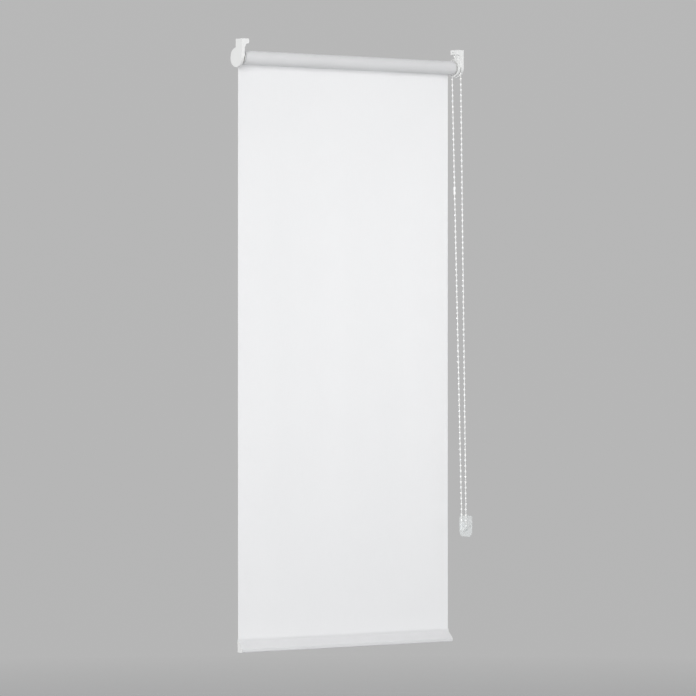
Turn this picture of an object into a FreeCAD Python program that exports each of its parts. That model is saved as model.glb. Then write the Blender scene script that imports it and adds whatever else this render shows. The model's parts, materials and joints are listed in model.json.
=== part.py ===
"""Chain-driven roller blind, 600 mm wide, drawn fully lowered.

Units are millimetres. The origin is the centre of the four ceiling screws, on the ceiling plane.
+X runs along the roller to the chain end, -Y points into the room, +Z is up.
"""
import FreeCAD
import Part
import math
import os

Vec = FreeCAD.Vector
X_AXIS = Vec(1, 0, 0)

# Overall
HALF_WIDTH = 300.0          # outer face of each bracket
AXIS_Y = 9.5                # roller axis, behind the screw line
AXIS_Z = -39.0              # roller axis, below the ceiling
BLIND_BOTTOM_Z = -1302.0    # underside of the hem when fully lowered

# Roller and fabric
TUBE_R = 14.0
TUBE_WALL = 1.0
TUBE_HALF = 285.2
KEY_WIDTH = 2.0
KEY_HEIGHT = 1.4
FABRIC = 0.4                # cloth thickness
WRAPS_LEFT = 2              # turns still on the tube when lowered
FABRIC_HALF = 284.0
ROLL_R = TUBE_R + WRAPS_LEFT * FABRIC
SHEET_FRONT_Y = AXIS_Y + ROLL_R + 0.3
SHEET_BACK_Y = SHEET_FRONT_Y + FABRIC
TAPE_THICK = 0.2
TAPE_WIDTH = 10.0

# Hem and bottom bar
HEM_HEIGHT = 28.0
HEM_DEPTH = 16.0
HEM_NECK = 2 * FABRIC
SLOPE_TOP = 22.6            # where the sloped front of the hem starts
SLOPE_FOOT = 8.0            # where it ends, at the front
BAR_WALL = 1.2
CAP_FLANGE = 1.5
CAP_PLUG = 12.0

# Bracket
STEM_HALF = 11.5
FLANGE_REACH = 18.5         # how far the flange reaches in from the outer face
FLANGE_THICK = 10.3
BODY_DEPTH = 7.4            # X size of the bracket body below the flange
DISC_R = 21.0
SHELL = 1.1                 # outer wall
RIM_WALL = 3.0
RIM_DEPTH = 5.4             # X size of the rim round the lower half
CAVITY_R = DISC_R - RIM_WALL
BOSS_R = 10.4
BOSS_DEPTH = 3.2
GUSSET_START = 6.0
GUSSET_DROP = 8.2
SCREW_X = 287.0
SCREW_Y = 6.0
SCREW_R = 2.2
SCREW_HEAD_R = 4.0
SCREW_SEAT = 3.5            # plastic left above each screw head

# Chain drive
BEAD_D = 4.5
BEAD_PITCH = 12.0
POCKETS = 8
CHAIN_PITCHES = 174
CHAIN_X = 296.0
CHAIN_R = BEAD_PITCH * POCKETS / (2 * math.pi)
CHAIN_GAP = 0.1
WHEEL_HALF = 2.7
GUARD_R = 19.2
GUARD_X = (287.4, 292.6)
GUARD_WEB = 1.6
GUARD_BORE = 9.6
SPINDLE_R = 6.0
NOSE_R = 3.0
RUNNING = 0.05              # radial clearance of every running fit
SPRING_WIRE = 1.0
SPRING_TURNS = 6
SPRING_PITCH = 1.2

# Chain clip on the side wall
CLIP_Y = -17.5
CLIP_R = 7.4                # chain centre line round the hook
CLIP_BACK_X = 302.0
CLIP_PLATE = 2.0
CLIP_SIZE = (43.0, 46.0)
CLIP_SCREW_OFF = 15.5

# Joining link of the chain
LINK_Z = -308.84             # puts a bead in the pocket at the top of the wheel
LINK_R = 2.6
LINK_LENGTH = 18.0

# Idle end
PIN_R = 3.0
COLLAR_R = 4.4
CHAMBER_R = 4.5
PIN_STEM_R = 2.0
IDLE_WIRE = 0.7
IDLE_TURNS = 8


def cyl(radius, x0, x1, y=AXIS_Y, z=AXIS_Z):
    """A cylinder along X between x0 and x1."""
    return Part.makeCylinder(radius, x1 - x0, Vec(x0, y, z), X_AXIS)


def ring(outer, inner, x0, x1, y=AXIS_Y, z=AXIS_Z):
    """A plain ring along X."""
    return cyl(outer, x0, x1, y, z).cut(cyl(inner, x0 - 1, x1 + 1, y, z))


def box(x0, x1, y0, y1, z0, z1):
    """A box between two corners."""
    return Part.makeBox(x1 - x0, y1 - y0, z1 - z0, Vec(x0, y0, z0))


def rounded_outline(corners):
    """A closed wire from (point, corner radius) pairs, with an arc at each corner that has a radius."""
    count = len(corners)
    edges = []
    starts = []
    ends = []
    arcs = []
    for i in range(count):
        here, radius = corners[i]
        before = (corners[i - 1][0] - here).normalize()
        after = (corners[(i + 1) % count][0] - here).normalize()
        half = before.getAngle(after) / 2
        cut = radius / math.tan(half)
        starts.append(here + before * cut)
        ends.append(here + after * cut)
        middle = here + (before + after).normalize() * (radius / math.sin(half) - radius)
        arcs.append(middle)
    for i in range(count):
        if corners[i][1] > 0:
            edges.append(Part.Arc(starts[i], arcs[i], ends[i]).toShape())
        edges.append(Part.makeLine(ends[i], starts[(i + 1) % count]))
    return Part.Wire(edges)


def prism(corners, direction):
    """A straight solid on a rounded outline."""
    return Part.Face(rounded_outline(corners)).extrude(direction)


def mirrored(shape):
    """The same shape at the other end of the blind."""
    return shape.mirror(Vec(0, 0, 0), X_AXIS)


def coil(mean_r, wire, turns, pitch, x0):
    """A square-wire spring along X on the roller axis, starting at x0."""
    path = Part.makeHelix(pitch, pitch * turns, mean_r)
    half = wire / 2
    corners = [(-half, -half), (half, -half), (half, half), (-half, half), (-half, -half)]
    start = Part.makePolygon([Vec(mean_r + a, 0, b) for a, b in corners])
    spring = Part.Wire(path).makePipeShell([start], True, True)
    spring.rotate(Vec(0, 0, 0), Vec(0, 1, 0), 90)
    spring.translate(Vec(x0, AXIS_Y, AXIS_Z))
    return spring


# Brackets

def bracket_block():
    """Flange, cove and body of a bracket: one profile across the stem, at the +X end."""
    x_out = HALF_WIDTH
    x_in = HALF_WIDTH - FLANGE_REACH
    x_body = HALF_WIDTH - BODY_DEPTH
    y0 = -STEM_HALF
    corners = [
        (Vec(x_in, y0, 0), 0.6),
        (Vec(x_out, y0, 0), 0.6),
        (Vec(x_out, y0, AXIS_Z), 0),
        (Vec(x_body, y0, AXIS_Z), 0),
        (Vec(x_body, y0, -FLANGE_THICK - GUSSET_DROP), 2.0),
        (Vec(x_in + GUSSET_START, y0, -FLANGE_THICK - 0.6), 1.5),
        (Vec(x_in, y0, -FLANGE_THICK), 1.0),
    ]
    return prism(corners, Vec(0, 2 * STEM_HALF, 0))


def screw_hole(y):
    """Shank hole with a counterbore from below."""
    hole = Part.makeCylinder(SCREW_R, 30, Vec(SCREW_X, y, -25))
    seat = Part.makeCylinder(SCREW_HEAD_R, 30, Vec(SCREW_X, y, -SCREW_SEAT - 30))
    return hole.fuse(seat)


def bracket_blank():
    """What both brackets share: block, round shell, rim and screw holes, at the +X end."""
    x_out = HALF_WIDTH
    shell = cyl(DISC_R, x_out - SHELL, x_out)
    rim = ring(DISC_R, CAVITY_R, x_out - RIM_DEPTH, x_out)
    body = bracket_block().cut(cyl(CAVITY_R, x_out - BODY_DEPTH - 1, x_out - SHELL))
    body = body.multiFuse([shell, rim]).removeSplitter()
    slot = box(x_out - FLANGE_REACH - 1, x_out - FLANGE_REACH + 1.5, -9.0, 9.0, -6.2, -4.4)
    return body.cut(slot).cut(screw_hole(SCREW_Y)).cut(screw_hole(-SCREW_Y))


def control_bracket():
    """Bracket at the chain end, with the boss that holds the spindle and two ways out for the chain."""
    boss = cyl(BOSS_R, HALF_WIDTH - BOSS_DEPTH, HALF_WIDTH)
    socket = cyl(SPINDLE_R, HALF_WIDTH - BOSS_DEPTH - 1, HALF_WIDTH - 0.4)
    body = bracket_blank().fuse(boss).cut(socket)
    for side in (-1, 1):
        y = AXIS_Y + side * CHAIN_R
        way = box(CHAIN_X - 2.6, HALF_WIDTH - SHELL, y - 2.9, y + 2.9, AXIS_Z - 22, AXIS_Z)
        body = body.cut(way)
    return body.removeSplitter()


def idle_bracket():
    """Bracket at the free end, with a blind socket for the sprung pin."""
    boss = cyl(BOSS_R, HALF_WIDTH - BODY_DEPTH, HALF_WIDTH)
    socket = cyl(PIN_R + RUNNING, HALF_WIDTH - BODY_DEPTH - 1, HALF_WIDTH - 1.5)
    return mirrored(bracket_blank().fuse(boss).cut(socket).removeSplitter())


# Chain drive

def chain_guard():
    """Dished disc that closes the wheel's chamber on the roller side."""
    x0, x1 = GUARD_X
    web = ring(GUARD_R, GUARD_BORE, x1 - GUARD_WEB, x1)
    rim = ring(GUARD_R, GUARD_R - 1.5, x0, x1)
    collar = ring(GUARD_BORE + 1.4, GUARD_BORE, x0 + 1.0, x1)
    return web.multiFuse([rim, collar]).removeSplitter()


def clutch_spindle():
    """Fixed shaft that the wheel and hub turn on, with a nose and a pilot hole for its screw."""
    shaft = cyl(SPINDLE_R, 262.0, HALF_WIDTH - 0.4)
    nose = cyl(NOSE_R, 257.6, 262.0)
    pilot = cyl(1.5, 257.0, 273.0)
    return shaft.fuse(nose).cut(pilot)


def spindle_screw():
    """Pan-head screw that keeps the hub on the spindle."""
    head = cyl(4.5, 255.6, 257.6)
    shank = cyl(1.5, 257.6, 272.0)
    recess = box(255.0, 256.6, AXIS_Y - 2.4, AXIS_Y + 2.4, AXIS_Z - 0.4, AXIS_Z + 0.4)
    cross = box(255.0, 256.6, AXIS_Y - 0.4, AXIS_Y + 0.4, AXIS_Z - 2.4, AXIS_Z + 2.4)
    return head.fuse(shank).cut(recess).cut(cross).removeSplitter()


def chain_wheel():
    """Grooved wheel with a pocket for each bead, and the sleeve that drives the hub."""
    rim = cyl(CHAIN_R - 0.1, CHAIN_X - WHEEL_HALF, CHAIN_X + WHEEL_HALF)
    groove = Part.makeTorus(CHAIN_R, BEAD_D / 2 + CHAIN_GAP, Vec(CHAIN_X, AXIS_Y, AXIS_Z), X_AXIS)
    room = cyl(BOSS_R + 0.4, HALF_WIDTH - BOSS_DEPTH - 0.3, HALF_WIDTH)
    sleeve = cyl(8.6, 282.0, CHAIN_X - WHEEL_HALF)
    bore = cyl(SPINDLE_R + RUNNING, 280.0, HALF_WIDTH)
    spring_room = cyl(7.6, 281.0, 291.0)
    wheel = rim.cut(groove).cut(room).fuse(sleeve).cut(bore).cut(spring_room)
    for i in range(POCKETS):
        angle = 2 * math.pi * i / POCKETS
        y = AXIS_Y + CHAIN_R * math.sin(angle)
        z = AXIS_Z + CHAIN_R * math.cos(angle)
        wheel = wheel.cut(Part.makeSphere(BEAD_D / 2 + 0.35, Vec(CHAIN_X, y, z)))
    return wheel


def clutch_springs():
    """Two wrap springs round the spindle."""
    mean_r = SPINDLE_R + 0.1 + SPRING_WIRE / 2
    return Part.makeCompound([
        coil(mean_r, SPRING_WIRE, SPRING_TURNS, SPRING_PITCH, x0) for x0 in (264.6, 273.4)
    ])


def drive_hub():
    """Plug keyed into the chain end of the tube."""
    flange = cyl(TUBE_R, TUBE_HALF, TUBE_HALF + 1.4)
    plug = cyl(TUBE_R - TUBE_WALL, 258.0, TUBE_HALF)
    inside = cyl(8.8, 261.4, TUBE_HALF + 2)
    end_hole = cyl(NOSE_R + RUNNING, 257.0, 262.0)
    hub = flange.fuse(plug).cut(inside).cut(end_hole)
    for i in range(6):
        flute = cyl(1.6, 257.0, TUBE_HALF - 2, AXIS_Y, AXIS_Z - TUBE_R + 0.4)
        flute.rotate(Vec(0, AXIS_Y, AXIS_Z), X_AXIS, 30 + 60 * i)
        hub = hub.cut(flute)
    return hub.cut(tube_key(257.0, TUBE_HALF)).removeSplitter()


# Roller

def tube_key(x0, x1):
    """The rib inside the tube, at its top."""
    top = AXIS_Z + TUBE_R - TUBE_WALL / 2
    return box(x0, x1, AXIS_Y - KEY_WIDTH / 2, AXIS_Y + KEY_WIDTH / 2, top - KEY_HEIGHT, top)


def roller_tube():
    """Extruded tube with one key rib."""
    tube = ring(TUBE_R, TUBE_R - TUBE_WALL, -TUBE_HALF, TUBE_HALF)
    return tube.fuse(tube_key(-TUBE_HALF, TUBE_HALF)).removeSplitter()


def fabric_tape():
    """Adhesive strip on the tube, under the first turn of cloth."""
    band = ring(TUBE_R + TAPE_THICK, TUBE_R, -FABRIC_HALF, FABRIC_HALF)
    half = TAPE_WIDTH / 2
    return band.common(box(-HALF_WIDTH, HALF_WIDTH, AXIS_Y - half, AXIS_Y + half, AXIS_Z, 0))


def fabric_roll():
    """The turns of cloth left on the tube."""
    return ring(ROLL_R, TUBE_R, -FABRIC_HALF, FABRIC_HALF).cut(fabric_tape())


# Idle end, built at the +X end and mirrored

def idle_plug():
    """Plug keyed into the free end of the tube, with a chamber for the pin and its spring."""
    flange = cyl(TUBE_R, TUBE_HALF, TUBE_HALF + 1.4)
    plug = cyl(TUBE_R - TUBE_WALL, 255.0, TUBE_HALF)
    chamber = cyl(CHAMBER_R, 258.0, TUBE_HALF)
    mouth = cyl(PIN_R + RUNNING, TUBE_HALF - 1, TUBE_HALF + 2)
    body = flange.fuse(plug).cut(chamber).cut(mouth)
    for i in range(6):
        flute = cyl(1.6, 254.0, TUBE_HALF - 2, AXIS_Y, AXIS_Z - TUBE_R + 0.4)
        flute.rotate(Vec(0, AXIS_Y, AXIS_Z), X_AXIS, 30 + 60 * i)
        body = body.cut(flute)
    return mirrored(body.cut(tube_key(254.0, TUBE_HALF)).removeSplitter())


def idle_pin():
    """Sprung pin: tip, collar and spring guide."""
    tip = cyl(PIN_R, 285.0, 297.2)
    point = Part.makeCone(PIN_R, PIN_R - 0.8, 0.8, Vec(297.2, AXIS_Y, AXIS_Z), X_AXIS)
    collar = cyl(COLLAR_R, 283.0, 285.0)
    stem = cyl(PIN_STEM_R, 268.0, 283.0)
    return mirrored(tip.multiFuse([point, collar, stem]).removeSplitter())


def idle_spring():
    """Compression spring between the pin's collar and the end of its chamber."""
    length = 283.0 - 258.0 - IDLE_WIRE - 0.2
    pitch = length / IDLE_TURNS
    return mirrored(coil(3.4, IDLE_WIRE, IDLE_TURNS, pitch, 258.1 + IDLE_WIRE / 2))


# Fabric and hem

def yz(y, z):
    """A point of the hem's section, with z measured up from its underside."""
    return Vec(-FABRIC_HALF, y, BLIND_BOTTOM_Z + z)


def hem_outline():
    """Section of the cloth that wraps the bar."""
    front = SHEET_BACK_Y - HEM_DEPTH
    neck = SHEET_BACK_Y - HEM_NECK
    return [
        (yz(SHEET_BACK_Y, HEM_HEIGHT), 0),
        (yz(neck, HEM_HEIGHT), 0),
        (yz(neck, SLOPE_TOP), 7.0),
        (yz(front, SLOPE_FOOT), 2.5),
        (yz(front, 0), 2.4),
        (yz(SHEET_BACK_Y, 0), 2.4),
    ]


def bar_outline(inset):
    """Section of the bottom bar, drawn in by inset from the inside of the cloth."""
    lean = math.atan2(SLOPE_TOP - SLOPE_FOOT, HEM_DEPTH - HEM_NECK)
    front = SHEET_BACK_Y - HEM_DEPTH + FABRIC + inset
    back = SHEET_BACK_Y - FABRIC - inset
    drop = (FABRIC + inset) / math.cos(lean)
    foot = SLOPE_FOOT - drop + (FABRIC + inset) * math.tan(lean)
    head = foot + (back - front) * math.tan(lean)
    radius = max(2.0 - inset, 0.4)
    return [
        (yz(front, foot), radius),
        (yz(front, FABRIC + inset), radius),
        (yz(back, FABRIC + inset), radius),
        (yz(back, head), radius),
    ]


def fabric_sheet():
    """Hanging cloth, from the roller down to the hem."""
    return box(-FABRIC_HALF, FABRIC_HALF, SHEET_FRONT_Y, SHEET_BACK_Y,
               BLIND_BOTTOM_Z + HEM_HEIGHT, AXIS_Z)


def fabric_hem():
    """The cloth wrapped round the bottom bar."""
    along = Vec(2 * FABRIC_HALF, 0, 0)
    return prism(hem_outline(), along).cut(prism(bar_outline(0), along))


def bottom_bar():
    """Hollow weight bar inside the hem."""
    along = Vec(2 * FABRIC_HALF, 0, 0)
    return prism(bar_outline(0), along).cut(prism(bar_outline(BAR_WALL), along))


def bar_end_cap():
    """Cap at the -X end of the bar: a flange over the hem's end and a plug in the bar."""
    flange = prism(hem_outline(), Vec(-CAP_FLANGE, 0, 0))
    plug = prism(bar_outline(BAR_WALL), Vec(CAP_PLUG, 0, 0))
    hollow = prism(bar_outline(BAR_WALL + 1.0), Vec(CAP_PLUG + 1, 0, 0))
    return flange.fuse(plug).cut(hollow).removeSplitter()


# Chain

def loop_run():
    """Length of each straight run of the loop, from the number of bead pitches in it."""
    length = CHAIN_PITCHES * BEAD_PITCH
    run = length / 2
    for _ in range(20):
        lean = math.atan2(CHAIN_R - CLIP_R, run)
        arcs = CHAIN_R * (math.pi + 2 * lean) + CLIP_R * (math.pi - 2 * lean)
        run = (length - arcs) / 2
    return run


def clip_centre_z():
    """Height of the hook's centre, where the loop of chain hangs straight."""
    between = math.hypot(loop_run(), CHAIN_R - CLIP_R)
    return AXIS_Z - math.sqrt(between ** 2 - (CLIP_Y - AXIS_Y) ** 2)


def loop_angles():
    """Angles at which the chain meets the wheel and leaves it, from +Y towards +Z."""
    sideways = CLIP_Y - AXIS_Y
    down = clip_centre_z() - AXIS_Z
    lean = math.asin((CHAIN_R - CLIP_R) / math.hypot(sideways, down))
    hang = math.atan2(down, sideways)
    return hang + math.pi / 2 - lean, hang + 3 * math.pi / 2 + lean


def corners_round(y, z, radius, start, end):
    """Four corners of the route round a wheel or hook, which turns it from one angle to the other."""
    turn = (end - start) / 4
    reach = radius / math.cos(turn / 2)
    angles = [start + turn * (count + 0.5) for count in range(4)]
    return [Vec(CHAIN_X, y + reach * math.cos(angle), z + reach * math.sin(angle)) for angle in angles]


def link_ends():
    """Both ends of the joining link, on the window-side run, upper end first."""
    start = loop_angles()[0]
    out = Vec(0, math.cos(start), math.sin(start))
    along = Vec(0, out.z, -out.y)
    leaves = Vec(CHAIN_X, AXIS_Y, AXIS_Z) + out * CHAIN_R
    middle = leaves + along * ((leaves.z - LINK_Z) / -along.z)
    return middle - along * (LINK_LENGTH / 2), middle + along * (LINK_LENGTH / 2)


def chain_route():
    """Corners of the chain's line, from one end of the joining link round the loop to the other."""
    start, end = loop_angles()
    link_top, link_low = link_ends()
    wheel = corners_round(AXIS_Y, AXIS_Z, CHAIN_R, start, end)
    hook = corners_round(CLIP_Y, clip_centre_z(), CLIP_R, end, start + 2 * math.pi)
    return [link_top] + wheel + hook + [link_low]


def chain_path():
    """Centre line of the chain: straight runs, with arcs of the wheel's and the hook's size."""
    route = chain_route()
    radii = 4 * [CHAIN_R] + 4 * [CLIP_R]
    edges = []
    here = route[0]
    for before, corner, after, radius in zip(route, route[1:], route[2:], radii):
        arrive = (corner - before).normalize()
        leave = (after - corner).normalize()
        half_turn = arrive.getAngle(leave) / 2
        meet = corner - arrive * radius * math.tan(half_turn)
        part = corner + leave * radius * math.tan(half_turn)
        inside = (leave - arrive).normalize() * (radius / math.cos(half_turn) - radius)
        if (meet - here).Length > 0.01:
            edges.append(Part.makeLine(here, meet))
            here = meet
        edges.append(Part.Arc(here, corner + inside, part).toShape())
        here = part
    edges.append(Part.makeLine(here, route[-1]))
    return Part.Wire(edges)


def control_chain():
    """The chain as a plain tube of bead diameter along its centre line."""
    path = chain_path()
    start = path.Edges[0].Vertexes[0].Point
    along = path.Edges[0].tangentAt(path.Edges[0].FirstParameter)
    section = Part.Wire(Part.makeCircle(BEAD_D / 2, start, along))
    tube = path.makePipeShell([section], True, False)
    area = math.pi * BEAD_D ** 2 / 4
    print("chain radii %.2f %.2f length %.1f" % (CHAIN_R, CLIP_R, path.Length))
    print("chain volume %.1f section x length %.1f" % (tube.Volume, area * path.Length))
    return tube


def chain_connector():
    """Joining link that closes the loop."""
    top, low = link_ends()
    along = low - top
    body = Part.makeCylinder(LINK_R, along.Length, top, along)
    waist = Part.makeTorus(LINK_R + 1.6, 2.2, (top + low) * 0.5, along)
    return body.cut(waist)


def chain_clip():
    """Clear keeper on the side wall: a plate with a drum for the loop and a lip to keep it on."""
    z = clip_centre_z()
    x_face = CLIP_BACK_X - CLIP_PLATE
    width, height = CLIP_SIZE
    y0, z0 = CLIP_Y - width / 2, z - height / 2
    corners = [
        (Vec(x_face, y0, z0), 12.0),
        (Vec(x_face, y0 + width, z0), 12.0),
        (Vec(x_face, y0 + width, z0 + height), 6.0),
        (Vec(x_face, y0, z0 + height), 6.0),
    ]
    plate = prism(corners, Vec(CLIP_PLATE, 0, 0))
    drum = cyl(CLIP_R - BEAD_D / 2 - 0.1, CHAIN_X - 2.9, x_face, CLIP_Y, z)
    lip = cyl(CLIP_R + 1.6, CHAIN_X - 4.4, CHAIN_X - 2.9, CLIP_Y, z)
    wall_r = CLIP_R + BEAD_D / 2 + 0.3
    wall = ring(wall_r + 1.5, wall_r, CHAIN_X - 2.9, x_face, CLIP_Y, z)
    wall = wall.cut(box(280, 310, CLIP_Y - 30, CLIP_Y + 30, z + 1.0, z + 30))
    body = plate.multiFuse([drum, lip, wall]).removeSplitter()
    for side in (-1, 1):
        y = CLIP_Y + side * CLIP_SCREW_OFF
        body = body.cut(cyl(SCREW_R, x_face - 1, CLIP_BACK_X + 1, y, z))
    return body


def parts():
    """Every node by name."""
    cap = bar_end_cap()
    return {
        "control_bracket": control_bracket(),
        "idle_bracket": idle_bracket(),
        "chain_guard": chain_guard(),
        "clutch_spindle": clutch_spindle(),
        "spindle_screw": spindle_screw(),
        "chain_wheel": chain_wheel(),
        "clutch_springs": clutch_springs(),
        "drive_hub": drive_hub(),
        "roller_tube": roller_tube(),
        "fabric_tape": fabric_tape(),
        "fabric_roll": fabric_roll(),
        "idle_plug": idle_plug(),
        "idle_pin": idle_pin(),
        "idle_spring": idle_spring(),
        "fabric_sheet": fabric_sheet(),
        "fabric_hem": fabric_hem(),
        "bottom_bar": bottom_bar(),
        "bar_end_cap_left": cap,
        "bar_end_cap_right": mirrored(cap),
        "control_chain": control_chain(),
        "chain_connector": chain_connector(),
        "chain_clip": chain_clip(),
    }


os.makedirs("parts", exist_ok=True)
print("clip centre z %.2f" % clip_centre_z())
for name, shape in parts().items():
    box_ = shape.BoundBox
    print("%-18s solids %d valid %s  x %.1f %.1f  y %.1f %.1f  z %.1f %.1f" % (
        name, len(shape.Solids), shape.isValid(), box_.XMin, box_.XMax,
        box_.YMin, box_.YMax, box_.ZMin, box_.ZMax))
    shape.exportStep("parts/" + name + ".step")
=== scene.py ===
"""Dressed model of a roller blind with a chain drive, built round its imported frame.

Lengths are metres and the axes are the frame's: +X towards the chain, -Y into the room, +Z up.
"""

import json
import logging
import math
from abc import ABC, abstractmethod
from bisect import bisect_right
from collections.abc import Callable, Sequence
from dataclasses import dataclass, field
from enum import Enum
from functools import cache
from typing import Any

import bmesh
import bpy
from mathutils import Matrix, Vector


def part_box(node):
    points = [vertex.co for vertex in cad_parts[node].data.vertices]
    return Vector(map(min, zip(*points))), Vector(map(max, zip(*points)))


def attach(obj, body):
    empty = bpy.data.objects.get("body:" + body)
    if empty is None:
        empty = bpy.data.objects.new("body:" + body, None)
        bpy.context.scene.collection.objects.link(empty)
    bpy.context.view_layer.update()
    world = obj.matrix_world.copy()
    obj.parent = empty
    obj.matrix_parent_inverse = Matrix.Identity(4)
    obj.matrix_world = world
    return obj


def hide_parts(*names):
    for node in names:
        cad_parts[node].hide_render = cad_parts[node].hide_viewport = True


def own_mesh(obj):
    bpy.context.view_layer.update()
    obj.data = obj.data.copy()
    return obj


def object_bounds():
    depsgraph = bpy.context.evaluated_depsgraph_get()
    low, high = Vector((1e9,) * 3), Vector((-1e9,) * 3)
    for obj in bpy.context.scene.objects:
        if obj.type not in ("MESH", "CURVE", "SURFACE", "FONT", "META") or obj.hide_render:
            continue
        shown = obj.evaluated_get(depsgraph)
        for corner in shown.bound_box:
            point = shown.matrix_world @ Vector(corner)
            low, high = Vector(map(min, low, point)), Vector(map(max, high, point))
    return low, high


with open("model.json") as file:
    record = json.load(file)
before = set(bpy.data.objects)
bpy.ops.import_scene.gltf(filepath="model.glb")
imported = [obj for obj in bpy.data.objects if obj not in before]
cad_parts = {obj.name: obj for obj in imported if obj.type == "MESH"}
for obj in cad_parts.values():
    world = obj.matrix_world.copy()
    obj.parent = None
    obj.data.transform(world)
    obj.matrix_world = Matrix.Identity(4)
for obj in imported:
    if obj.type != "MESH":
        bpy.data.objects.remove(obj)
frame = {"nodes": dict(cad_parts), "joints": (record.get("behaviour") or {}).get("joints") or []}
cad_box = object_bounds()

log = logging.getLogger("roller_blind")

MM = 0.001
Colour = tuple[float, float, float, float]


class Slot(Enum):
    """The record's material slots."""

    BRACKET = "bracket_plastic"
    DRIVE = "drive_plastic"
    CLEAR = "clear_plastic"
    CHAIN = "chain_plastic"
    CLOTH = "cloth"
    TAPE = "tape"
    TUBE = "tube_metal"
    SPRING = "spring_steel"
    SCREW = "screw_steel"


class Body(Enum):
    """The bodies that pieces ride on."""

    FIXED = "fixed_parts"
    ROLLER = "roller"
    RAIL = "bottom_rail"


# ---------------------------------------------------------------- shader maths


@dataclass(frozen=True)
class Signal:
    """A value in a node tree. Python's operators on it add Math nodes."""

    nodes: "Nodes"
    socket: bpy.types.NodeSocket

    def maths(self, operation: str, *values: "Signal | float") -> "Signal":
        """Add one Math node.

        Args:
            operation: The Math node's operation.
            values: What goes into its sockets, in order.

        Returns:
            The node's result.
        """
        return self.nodes.add("ShaderNodeMath", {"operation": operation}, dict(enumerate(values)))

    def __add__(self, other: "Signal | float") -> "Signal":
        """Sum."""
        return self.maths("ADD", self, other)

    def __radd__(self, other: float) -> "Signal":
        """Sum, number first."""
        return self.maths("ADD", other, self)

    def __sub__(self, other: "Signal | float") -> "Signal":
        """Difference."""
        return self.maths("SUBTRACT", self, other)

    def __rsub__(self, other: float) -> "Signal":
        """Difference, number first."""
        return self.maths("SUBTRACT", other, self)

    def __mul__(self, other: "Signal | float") -> "Signal":
        """Product."""
        return self.maths("MULTIPLY", self, other)

    def __rmul__(self, other: float) -> "Signal":
        """Product, number first."""
        return self.maths("MULTIPLY", other, self)

    def __truediv__(self, other: "Signal | float") -> "Signal":
        """Quotient."""
        return self.maths("DIVIDE", self, other)

    def __rtruediv__(self, other: float) -> "Signal":
        """Quotient, number first."""
        return self.maths("DIVIDE", other, self)

    def __pow__(self, power: "Signal | float") -> "Signal":
        """Power."""
        return self.maths("POWER", self, power)

    def __rpow__(self, base: float) -> "Signal":
        """Power, number first."""
        return self.maths("POWER", base, self)

    def sine(self) -> "Signal":
        """Sine, of radians."""
        return self.maths("SINE", self)

    def held(self, low: float = 0.0, high: float = 1.0) -> "Signal":
        """Held between two numbers."""
        return self.nodes.add("ShaderNodeClamp", None, {"Value": self, "Min": low, "Max": high})


class Nodes:
    """A node tree that nodes are added to."""

    def __init__(self, tree: bpy.types.NodeTree) -> None:
        """Work on that tree."""
        self.tree = tree

    def add(
        self,
        kind: str,
        settings: dict[str, Any] | None = None,
        inputs: dict[str | int, Any] | None = None,
        output: str | int = 0,
    ) -> Signal:
        """Add one node.

        Args:
            kind: The node's type.
            settings: Its properties, set first; "stops" are the places and colours of a ramp.
            inputs: Values or signals for its sockets, by name or number.
            output: The socket that is wanted from it.

        Returns:
            That output.
        """
        node = self.tree.nodes.new(kind)
        for name, value in (settings or {}).items():
            if name == "stops":
                self.set_stops(node.color_ramp.elements, value)
            else:
                setattr(node, name, value)
        for name, value in (inputs or {}).items():
            self.feed(node.inputs[name], value)
        return Signal(self, node.outputs[output])

    @staticmethod
    def set_stops(elements: Any, stops: Sequence[tuple[float, Colour]]) -> None:
        """Set a ramp's two end stops, then add the ones between them.

        Args:
            elements: The ramp's stops, of which it has two.
            stops: The place and colour of each stop, in order.
        """
        for element, (place, colour) in zip(elements, (stops[0], stops[-1])):
            element.position, element.color = place, colour
        for place, colour in stops[1:-1]:
            elements.new(place).color = colour

    def feed(self, socket: bpy.types.NodeSocket, value: Any) -> None:
        """Link a signal to a socket, or set the socket to a plain value."""
        if isinstance(value, Signal):
            self.tree.links.new(value.socket, socket)
        else:
            socket.default_value = value

    def along(self, place: Signal, axis: str) -> Signal:
        """One coordinate of a place."""
        return self.add("ShaderNodeSeparateXYZ", None, {"Vector": place}, axis)


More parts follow.
